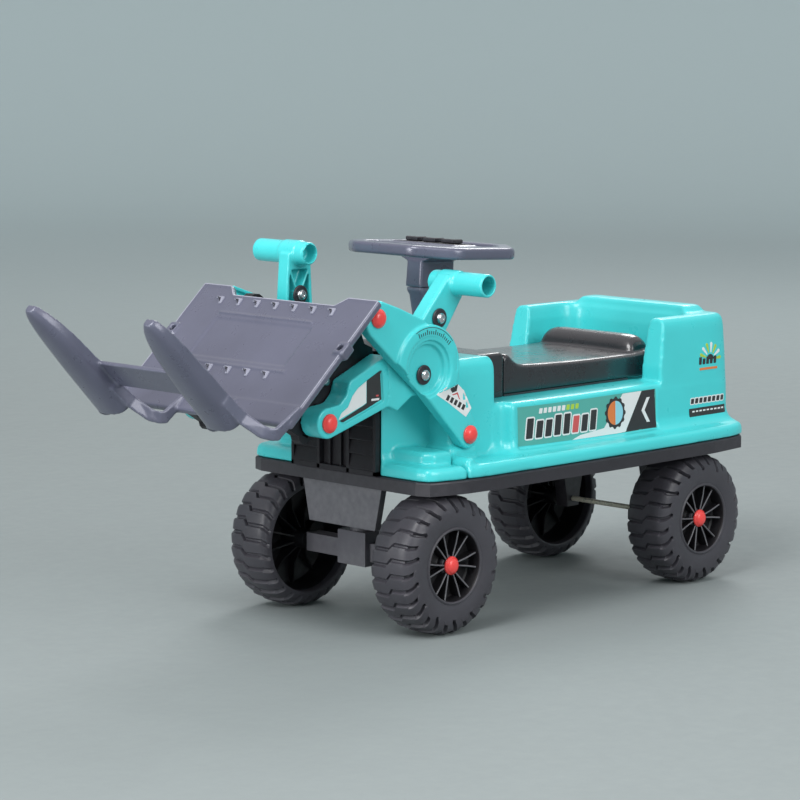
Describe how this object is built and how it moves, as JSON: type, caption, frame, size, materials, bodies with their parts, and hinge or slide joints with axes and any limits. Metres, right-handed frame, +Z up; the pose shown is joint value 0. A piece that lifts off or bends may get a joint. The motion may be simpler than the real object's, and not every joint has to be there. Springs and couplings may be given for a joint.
{
  "type": "ride-on loader toy",
  "caption": "Child's foot-to-floor ride-on vehicle with lifting and tilting fork, T-handles, steering wheel, hinged seat over a storage bin and lugged wheels.",
  "frame": {"origin": "bottom centre of the bounding box, on the ground between the wheels", "axes": "+X forward to the fork, +Y to the vehicle's left, +Z up"},
  "size_m": [0.8918, 0.303, 0.4075],
  "materials": {
    "teal_plastic": "glossy moulded teal",
    "violet_grey_plastic": "satin moulded violet grey",
    "black_plastic": "glossy moulded black",
    "charcoal_plastic": "satin blow-moulded charcoal",
    "mid_grey_plastic": "satin moulded grey",
    "red_plastic": "glossy red push-on cap",
    "zinc_steel": "bright zinc"
  },
  "bodies": {
    "chassis": {"base_plate": "black_plastic", "front_cowl": "teal_plastic", "front_grille": "black_plastic", "hood_cover": "black_plastic", "chin_plate": "mid_grey_plastic", "kingpin_socket": "black_plastic", "rear_body": "teal_plastic", "seat_front_trim": "black_plastic", "storage_bin": "black_plastic", "seat_hinge_pin": "zinc_steel", "steering_column": "violet_grey_plastic", "rear_axle_rod": "zinc_steel", "axle_bracket_left": "black_plastic", "axle_bracket_right": "black_plastic", "lift_pivot_rod": "zinc_steel", "lift_pivot_cap_left": "red_plastic", "lift_pivot_cap_right": "red_plastic"},
    "steering": {"steering_rod": "zinc_steel", "steering_wheel": "violet_grey_plastic", "horn_panel": "charcoal_plastic"},
    "button_left": {"horn_button_left": "black_plastic"},
    "button_middle": {"horn_button_middle": "black_plastic"},
    "button_right": {"horn_button_right": "black_plastic"},
    "front_axle": {"front_axle_beam": "mid_grey_plastic", "kingpin": "zinc_steel", "front_axle_rod": "zinc_steel"},
    "front_left_wheel": {"wheel_front_left": "charcoal_plastic", "hub_cap_front_left": "red_plastic"},
    "front_right_wheel": {"wheel_front_right": "charcoal_plastic", "hub_cap_front_right": "red_plastic"},
    "rear_left_wheel": {"wheel_rear_left": "charcoal_plastic", "hub_cap_rear_left": "red_plastic"},
    "rear_right_wheel": {"wheel_rear_right": "charcoal_plastic", "hub_cap_rear_right": "red_plastic"},
    "lift_arms": {"lift_arm_left": "teal_plastic", "lift_arm_right": "teal_plastic", "fork_pivot_rod": "zinc_steel", "fork_pivot_cap_left": "red_plastic", "fork_pivot_cap_right": "red_plastic", "lift_handle_right": "teal_plastic", "tilt_washer_left": "black_plastic", "tilt_washer_right": "black_plastic", "tilt_bolt_left": "zinc_steel", "tilt_bolt_right": "zinc_steel", "handle_washer_right": "black_plastic", "handle_bolt_right": "zinc_steel"},
    "tilt_lever": {"tilt_lever_left": "teal_plastic", "tilt_lever_right": "teal_plastic", "link_pivot_rod": "zinc_steel", "link_pivot_cap_left": "red_plastic", "link_pivot_cap_right": "red_plastic", "tilt_handle_left": "teal_plastic", "handle_washer_left": "black_plastic", "handle_bolt_left": "zinc_steel"},
    "fork": {"fork": "violet_grey_plastic", "fork_bracket_left": "black_plastic", "fork_bracket_right": "black_plastic"},
    "seat_lid": {"seat_lid": "black_plastic"}
  },
  "joints": [
    {"name": "steering_turn", "type": "hinge", "parent": "chassis", "child": "steering", "pos_m": [-0.039, 0, 0.286], "axis": [-0.0523, 0, 0.9986], "range_deg": [-40, 40]},
    {"name": "front_axle_steer", "type": "hinge", "parent": "chassis", "child": "front_axle", "pos_m": [0.06, 0, 0.075], "axis": [0, 0, 1], "range_deg": [-14, 14]},
    {"name": "lift_raise", "type": "hinge", "parent": "chassis", "child": "lift_arms", "pos_m": [0.0178, 0, 0.2086], "axis": [0, -1, 0], "range_deg": [-30, 12]},
    {"name": "tilt_turn", "type": "hinge", "parent": "lift_arms", "child": "tilt_lever", "pos_m": [0.0835, 0, 0.2775], "axis": [0, -1, 0], "range_deg": [-8, 8]},
    {"name": "fork_tilt", "type": "hinge", "parent": "lift_arms", "child": "fork", "pos_m": [0.1558, 0, 0.3422], "axis": [0, -1, 0], "range_deg": [-6.6, 6.6]},
    {"name": "seat_lid_open", "type": "hinge", "parent": "chassis", "child": "seat_lid", "pos_m": [-0.335, 0, 0.2445], "axis": [0, -1, 0], "range_deg": [0, 60]},
    {"name": "front_left_roll", "type": "hinge", "parent": "front_axle", "child": "front_left_wheel", "pos_m": [0.06, 0.11, 0.075], "axis": [0, 1, 0], "continuous": true},
    {"name": "front_right_roll", "type": "hinge", "parent": "front_axle", "child": "front_right_wheel", "pos_m": [0.06, -0.11, 0.075], "axis": [0, 1, 0], "continuous": true},
    {"name": "rear_left_roll", "type": "hinge", "parent": "chassis", "child": "rear_left_wheel", "pos_m": [-0.3545, 0.11, 0.075], "axis": [0, 1, 0], "continuous": true},
    {"name": "rear_right_roll", "type": "hinge", "parent": "chassis", "child": "rear_right_wheel", "pos_m": [-0.3545, -0.11, 0.075], "axis": [0, 1, 0], "continuous": true},
    {"name": "button_left_press", "type": "slide", "parent": "steering", "child": "button_left", "axis": [0.0523, 0, -0.9986], "range_m": [0, 0.0019], "stiffness_N_per_m": 300, "springref_m": -0.0008},
    {"name": "button_middle_press", "type": "slide", "parent": "steering", "child": "button_middle", "axis": [0.0523, 0, -0.9986], "range_m": [0, 0.0019], "stiffness_N_per_m": 300, "springref_m": -0.0008},
    {"name": "button_right_press", "type": "slide", "parent": "steering", "child": "button_right", "axis": [0.0523, 0, -0.9986], "range_m": [0, 0.0019], "stiffness_N_per_m": 300, "springref_m": -0.0008}
  ],
  "couplings": [
    {"joint": "fork_tilt", "follows": "tilt_turn", "ratio": 0.80403},
    {"joint": "front_axle_steer", "follows": "steering_turn", "ratio": 0.31744}
  ]
}
